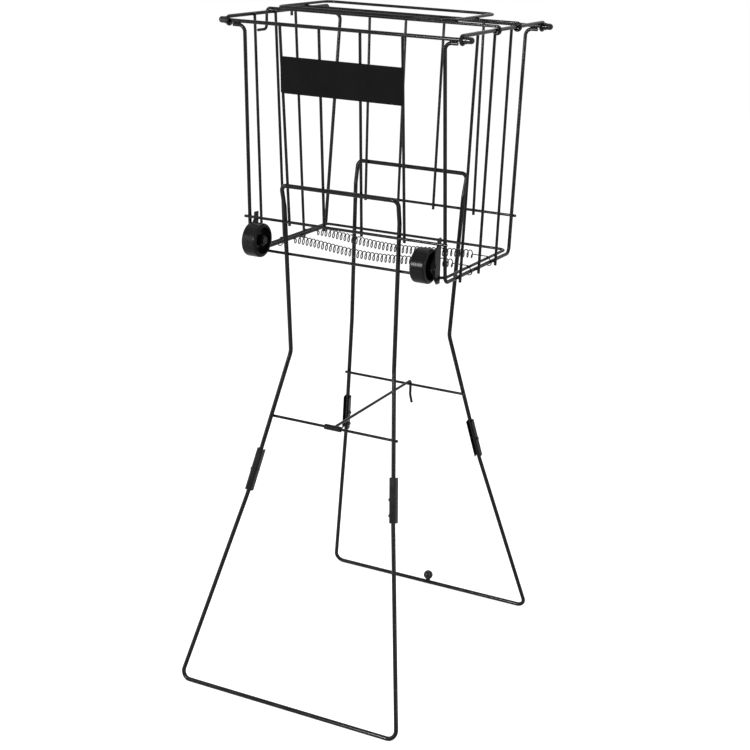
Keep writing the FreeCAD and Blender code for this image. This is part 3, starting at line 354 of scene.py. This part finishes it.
# %% Springs, caps, hardware and label
spring_black, surface = finish_of(
    "black_spring_wire", tones=((0.004, 0.004, 0.004), (0.009, 0.009, 0.008)),
    rough=(0.25, 0.4), gloss=0.16, tone_scale=90.0, grain_scale=900.0, grain_depth=0.00003)

cap_plastic, surface = finish_of(
    "glossy_cap_plastic", tones=((0.003, 0.003, 0.003), (0.006, 0.006, 0.006)),
    rough=(0.1, 0.18), gloss=0.26, tone_scale=80.0, grain_scale=900.0, grain_depth=0.00003)

blackened, surface = finish_of(
    "black_oxide_steel", tones=((0.02, 0.02, 0.021), (0.05, 0.05, 0.053)),
    rough=(0.2, 0.36), gloss=0.5, tone_scale=180.0, grain_scale=1500.0, grain_depth=0.00004)
surface.inputs["Metallic"].default_value = 0.85

label_film, surface = finish_of(
    "matt_label_film", tones=((0.0035, 0.0035, 0.0034), (0.005, 0.005, 0.0048)),
    rough=(0.46, 0.56), gloss=0.02, tone_scale=25.0, grain_scale=2200.0, grain_depth=0.00003)

# %% [markdown]
# ## Wheel plastic
# The wheels come from a turned mould, and its tool marks stay on the flat faces as fine
# rings round the axle. A sine of the distance from the axle, used as a height for a bump,
# draws them. The two wheels share one axle line, so one material serves both. The rings add
# to the grain by taking the grain's normal as their own starting point.

# %% Wheel plastic with turning rings
RINGS_PER_METRE = 260.0
RING_STRENGTH = 0.12
RING_DEPTH = 0.00006
moulded, surface = finish_of(
    "moulded_wheel_plastic", tones=((0.002, 0.002, 0.002), (0.004, 0.004, 0.0042)),
    rough=(0.2, 0.26), gloss=0.12, tone_scale=35.0, grain_scale=1400.0, grain_depth=0.000006)
tree = moulded.node_tree
wheel_low, wheel_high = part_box("left_wheel")
axle = (wheel_low + wheel_high) / 2
place = tree.nodes.new("ShaderNodeTexCoord")
from_axle = tree.nodes.new("ShaderNodeMapping")
from_axle.inputs["Location"].default_value = (0.0, -axle.y, -axle.z)
flat = tree.nodes.new("ShaderNodeVectorMath")
flat.operation = "MULTIPLY"
flat.inputs[1].default_value = (0.0, 1.0, 1.0)
radius = tree.nodes.new("ShaderNodeVectorMath")
radius.operation = "LENGTH"
rings = tree.nodes.new("ShaderNodeMath")
rings.operation = "MULTIPLY"
rings.inputs[1].default_value = RINGS_PER_METRE * 2 * math.pi
wave = tree.nodes.new("ShaderNodeMath")
wave.operation = "SINE"
tree.links.new(place.outputs["Object"], from_axle.inputs["Vector"])
tree.links.new(from_axle.outputs["Vector"], flat.inputs[0])
tree.links.new(flat.outputs["Vector"], radius.inputs[0])
tree.links.new(radius.outputs["Value"], rings.inputs[0])
tree.links.new(rings.outputs[0], wave.inputs[0])
grain_normal = surface.inputs["Normal"].links[0].from_socket
turned = tree.nodes.new("ShaderNodeBump")
turned.inputs["Strength"].default_value = RING_STRENGTH
turned.inputs["Distance"].default_value = RING_DEPTH
tree.links.new(wave.outputs[0], turned.inputs["Height"])
tree.links.new(grain_normal, turned.inputs["Normal"])
tree.links.new(turned.outputs["Normal"], surface.inputs["Normal"])
print("rings", round(1000 / RINGS_PER_METRE, 1), "mm apart")

# %% [markdown]
# ## A finish for every piece
# The record names a material slot for each piece of the model. A table from slot to
# material is enough to dress them all, and only the two lower leg frames, which hold the
# foot bars, get a finish of their own. The meshes stay as they are.

# %% Give every piece its finish
FINISHES = {
    "wheel_plastic": moulded,
    "cap_plastic": cap_plastic,
    "dark_hardware": blackened,
    "spring_steel": spring_black,
    "label_plastic": label_film,
    "black_enamel": enamel,
}
slots = {row["node"]: row["material_slot"] for row in frame["record"]["subparts"]}
for name, node in nodes.items():
    node.data.materials.clear()
    node.data.materials.append(FINISHES[slots[name]])
for name in ("front_lower_leg", "rear_lower_leg"):
    nodes[name].data.materials[0] = foot_enamel
print("finishes on", len(nodes), "pieces")

# %% [markdown]
# ## Weld beads
# Every crossing of two rods is a resistance weld: the rods are pressed together and a
# current melts the spot where they touch, so a little metal flows out round it. On the
# finished basket it shows as a small lump that fills the notch between two rods. Each
# bead could be a boolean fillet, but a squashed sphere at the place of contact looks the
# same under enamel and needs few faces. Its place comes from the middle lines of the two
# rods, and those of the straight rods are read from their meshes.

# %% Middle lines of the rods
THICK = 0.003
THIN = 0.002
END_DEPTH = 0.0015


def rod_line(name):
    """The middle of both ends of a straight rod, read from its mesh."""
    low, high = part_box(name)
    spans = high - low
    axis = max(range(3), key=lambda index: spans[index])
    ends = []
    for limit in (low[axis], high[axis]):
        ring = [v.co for v in nodes[name].data.vertices if abs(v.co[axis] - limit) < END_DEPTH]
        lowest = [min(point[index] for point in ring) for index in range(3)]
        highest = [max(point[index] for point in ring) for index in range(3)]
        ends.append((Vector(lowest) + Vector(highest)) / 2)
    return ends


def crossing(line_a, line_b):
    """The places on two lines where they come nearest to each other."""
    run_a = line_a[1] - line_a[0]
    run_b = line_b[1] - line_b[0]
    apart = line_a[0] - line_b[0]
    square_a, square_b, both = run_a.dot(run_a), run_b.dot(run_b), run_a.dot(run_b)
    lean_a, lean_b = run_a.dot(apart), run_b.dot(apart)
    under = square_a * square_b - both * both
    on_a = line_a[0] + run_a * ((both * lean_b - square_b * lean_a) / under)
    on_b = line_b[0] + run_b * ((square_a * lean_b - both * lean_a) / under)
    return on_a, on_b


front_rail = rod_line("front_top_rail")
print("front top rail", round((front_rail[1] - front_rail[0]).length * 1000, 1), "mm long")

# %% [markdown]
# No two welds are alike, so each bead is a little longer one way and shorter the other. A
# sine of its number gives a change that is different for each bead and the same each run.

# %% Bead shape
BEAD_ROUND = 2
BEAD_SPREAD = 1.18
BEAD_HEIGHT = 0.75
UNEVEN_SHARE = 0.08
UNEVEN_STEP = 2.4
LEFT_TO_RIGHT = Vector((1.0, 0.0, 0.0))
UPWARDS = Vector((0.0, 0.0, 1.0))
bead_count = 0


def add_bead(shape, place, normal, radius, height, along=None, stretch=1.0):
    """One squashed sphere at a place of contact, flat across the normal."""
    global bead_count
    bead_count += 1
    side = along if along is not None else normal.orthogonal()
    side = (side - normal * side.dot(normal)).normalized()
    turn = Matrix((side, normal.cross(side), normal)).transposed().to_4x4()
    uneven = 1.0 + UNEVEN_SHARE * math.sin(bead_count * UNEVEN_STEP)
    size = Matrix.Diagonal((radius * stretch * uneven, radius / uneven, height, 1.0))
    bmesh.ops.create_icosphere(shape, subdivisions=BEAD_ROUND, radius=1.0,
                               matrix=Matrix.Translation(place) @ turn @ size)


def bead_at_crossing(shape, line_a, line_b, radius_a, radius_b):
    """A bead in the notch between two rods that cross, as wide as the thinner one."""
    on_a, on_b = crossing(line_a, line_b)
    normal = (on_b - on_a).normalized()
    place = on_a + normal * (radius_a + ((on_b - on_a).length - radius_a - radius_b) / 2)
    thinner = min(radius_a, radius_b)
    add_bead(shape, place, normal, thinner * BEAD_SPREAD, thinner * BEAD_HEIGHT,
             line_a[1] - line_a[0])


def finish_piece(shape, name, body, material):
    """Turn a bmesh into a smooth object that rides on a body."""
    for face in shape.faces:
        face.smooth = True
    mesh = bpy.data.meshes.new(name)
    shape.to_mesh(mesh)
    shape.free()
    mesh.materials.append(material)
    piece = bpy.data.objects.new(name, mesh)
    bpy.context.scene.collection.objects.link(piece)
    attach(piece, body)
    print(name, len(mesh.polygons), "faces")


# %% [markdown]
# The corner posts and the uprights of the leg frames are parts of bent rods, so their lines
# run between the bends of the drawing. The bends are given for the right back quarter, and
# the other quarters mirror it. The leg frames sit a little to the left of the middle, the
# rear one more than the front one.

# %% Beads of the front and back faces
POST_FOOT = Vector((0.150, 0.105, 0.608))
POST_TOP = Vector((0.147, 0.130, 0.9219))
LEG_ELBOW = Vector((0.1162, 0.1524, 0.271))
LEG_KNEE = Vector((0.0815, 0.09768, 0.473))
LEG_KINK = Vector((0.08799, 0.11022, 0.6795))
LEG_SHIFT = {"front": -0.0055, "back": -0.015}
FACES = (("front", -1), ("back", 1))
basket_beads = bmesh.new()


def run_in_quarter(start, end, sx, sy, shift=0.0):
    """The line between two bends, brought to its own quarter."""
    return [Vector((bend.x * sx + shift, bend.y * sy, bend.z)) for bend in (start, end)]


for face, sy in FACES:
    rail = rod_line(face + "_top_rail")
    mid_rail = rod_line(face + "_mid_rail")
    for number in range(1, 5):
        wire = rod_line("%s_wire_%d" % (face, number))
        bead_at_crossing(basket_beads, wire, rail, THIN, THICK)
        bead_at_crossing(basket_beads, wire, mid_rail, THIN, THIN)
    for sx in (-1, 1):
        post = run_in_quarter(POST_FOOT, POST_TOP, sx, sy)
        bead_at_crossing(basket_beads, mid_rail, post, THIN, THICK)
        upright = run_in_quarter(LEG_KNEE, LEG_KINK, sx, sy, LEG_SHIFT[face])
        bead_at_crossing(basket_beads, mid_rail, upright, THIN, THICK)
print(bead_count, "beads")

# %% Beads where the leg loops cross the wires
LOOP_BEAD_SPREAD = 1.2
LOOP_BEAD_HEIGHT = 0.8
for (face, sy), leg in zip(FACES, ("front_upper_leg", "rear_upper_leg")):
    bar_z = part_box(leg)[1].z - THICK
    outwards = Vector((0.0, sy, 0.0))
    for number in (1, 2, 3):
        foot, top = rod_line("%s_wire_%d" % (face, number))
        on_wire = foot + (top - foot) * ((bar_z - foot.z) / (top.z - foot.z))
        add_bead(basket_beads, on_wire + outwards * THIN, outwards, THIN * LOOP_BEAD_SPREAD,
                 THIN * LOOP_BEAD_HEIGHT, LEFT_TO_RIGHT)
print(bead_count, "beads")

# %% Beads where the leg uprights cross the floor ring
RING_RUN_HALF = 0.1
ring_low, ring_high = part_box("floor_ring")
ring_z = (ring_low.z + ring_high.z) / 2
for face, sy in FACES:
    ring_y = (ring_high.y - THIN) * sy
    ring_run = [Vector((x, ring_y, ring_z)) for x in (-RING_RUN_HALF, RING_RUN_HALF)]
    for sx in (-1, 1):
        upright = run_in_quarter(LEG_KNEE, LEG_KINK, sx, sy, LEG_SHIFT[face])
        bead_at_crossing(basket_beads, ring_run, upright, THIN, THICK)
print(bead_count, "beads")

# %% Beads of the sides
RIM_HALF_WIDTH = 0.171
RIM_RUN_HALF = 0.1
rim_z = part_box("right_side_rim")[1].z - THICK
for side, sx in (("left", -1), ("right", 1)):
    rim = [Vector((RIM_HALF_WIDTH * sx, y, rim_z)) for y in (-RIM_RUN_HALF, RIM_RUN_HALF)]
    bottom_run = [Vector((POST_FOOT.x * sx, POST_FOOT.y * sy, POST_FOOT.z)) for sy in (-1, 1)]
    for number in (1, 2, 3):
        wire = rod_line("%s_wire_%d" % (side, number))
        bead_at_crossing(basket_beads, wire, rim, THIN, THICK)
        bead_at_crossing(basket_beads, wire, bottom_run, THIN, THICK)
print(bead_count, "beads")

# %% [markdown]
# The corners carry more weld metal than the crossings. Each shoulder of a corner post
# lies along the underside of a top rail and is welded there with a short seam, and the
# end of each rim eye is welded down where it meets the rail. A seam is a row of
# overlapping beads, drawn out along the rail.

# %% Seams at the corners
MOUTH_HALF_DEPTH = 0.130
RAIL_Z = 0.927
SEAM_BEADS = 4
SEAM_START = 0.1555
SEAM_STEP = 0.0022
SEAM_SPREAD = 0.78
SEAM_HEIGHT = 0.42
SEAM_STRETCH = 1.1
EYE_END_IN = 0.0046
EYE_END_DOWN = 0.0012
EYE_SPREAD = 0.95
EYE_HEIGHT = 0.6
for sx in (-1, 1):
    for sy in (-1, 1):
        for count in range(SEAM_BEADS):
            along_rail = SEAM_START + SEAM_STEP * count
            place = Vector((sx * along_rail, sy * MOUTH_HALF_DEPTH, RAIL_Z - THICK))
            add_bead(basket_beads, place, UPWARDS, THICK * SEAM_SPREAD, THICK * SEAM_HEIGHT,
                     LEFT_TO_RIGHT, SEAM_STRETCH)
        eye_end = Vector((sx * RIM_HALF_WIDTH, sy * (MOUTH_HALF_DEPTH - EYE_END_IN),
                          RAIL_Z - EYE_END_DOWN))
        add_bead(basket_beads, eye_end, Vector((0.0, sy, 0.0)), THICK * EYE_SPREAD,
                 THICK * EYE_HEIGHT)
print(bead_count, "beads")

# %% Beads of the wheel brackets
BRACKET_X = 0.1403
BRACKET_SPREAD = 1.05
BRACKET_HEIGHT = 0.55
BRACKET_STRETCH = 1.3
mid_low, mid_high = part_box("front_mid_rail")
mid_z = (mid_low.z + mid_high.z) / 2
for sx in (-1, 1):
    for y, z in ((mid_high.y, mid_z), (-ring_high.y, ring_z)):
        add_bead(basket_beads, Vector((sx * BRACKET_X, y, z)), Vector((0.0, 1.0, 0.0)),
                 THIN * BRACKET_SPREAD, THIN * BRACKET_HEIGHT, LEFT_TO_RIGHT, BRACKET_STRETCH)
print(bead_count, "beads")

# %% Beads of the leg braces
for (face, sy), brace in zip(FACES, ("front_leg_brace", "rear_leg_brace")):
    bar = rod_line(brace)
    for sx in (-1, 1):
        slope = run_in_quarter(LEG_KNEE, LEG_ELBOW, sx, sy, LEG_SHIFT[face])
        bead_at_crossing(basket_beads, bar, slope, THIN, THICK)
finish_piece(basket_beads, "basket_weld_beads", "basket", enamel)

# %% [markdown]
# The lid has only four welds, where its loop lies on the two lid wires. They get a mesh of
# their own, because they swing with the lid while the other beads stay on the basket.

# %% Beads of the lid
LOOP_SIDES_X = (-0.152, 0.113)
loop_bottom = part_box("lid_loop")[0].z
lid_beads = bmesh.new()
for wire in ("front_lid_wire", "back_lid_wire"):
    wire_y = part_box(wire)[1].y - THIN
    for x in LOOP_SIDES_X:
        add_bead(lid_beads, Vector((x, wire_y, loop_bottom)), UPWARDS, THIN * BEAD_SPREAD,
                 THIN * BEAD_HEIGHT)
finish_piece(lid_beads, "lid_weld_beads", "lid", enamel)

# %% [markdown]
# ## Parting line of the wheels
# A wheel is moulded in two halves, and where the halves of the mould meet, a hair of
# plastic stands proud round the middle of the tread. Four points of its profile are
# spun about the axle, which is how a turned shape is made with one operator. The lowest
# point lies inside the tread, so the ring has no open edge.

# %% Parting lines
PARTING_HALF = 0.00035
PARTING_RISE = 0.00014
PARTING_PROFILE = (
    (-PARTING_HALF, -PARTING_RISE),
    (0.0, PARTING_RISE),
    (PARTING_HALF, -PARTING_RISE),
    (0.0, -3 * PARTING_RISE),
)
SPIN_STEPS = 96
for side in ("left", "right"):
    low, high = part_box(side + "_wheel")
    middle = (low + high) / 2
    tread = (high.z - low.z) / 2
    line = bmesh.new()
    points = [line.verts.new(middle + Vector((x, 0.0, tread + rise))) for x, rise in PARTING_PROFILE]
    edges = [line.edges.new(pair) for pair in zip(points, points[1:] + points[:1])]
    bmesh.ops.spin(line, geom=points + edges, cent=middle, axis=LEFT_TO_RIGHT,
                   angle=2 * math.pi, steps=SPIN_STEPS, use_merge=True)
    bmesh.ops.recalc_face_normals(line, faces=line.faces)
    finish_piece(line, side + "_wheel_parting_line", side + "_wheel", moulded)

# %% [markdown]
# ## Sizes
# The box of the dressed model is printed.

# %% Write the sizes and finish
low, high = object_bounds()
print("visual box", [round(v, 4) for v in (*low, *high)])
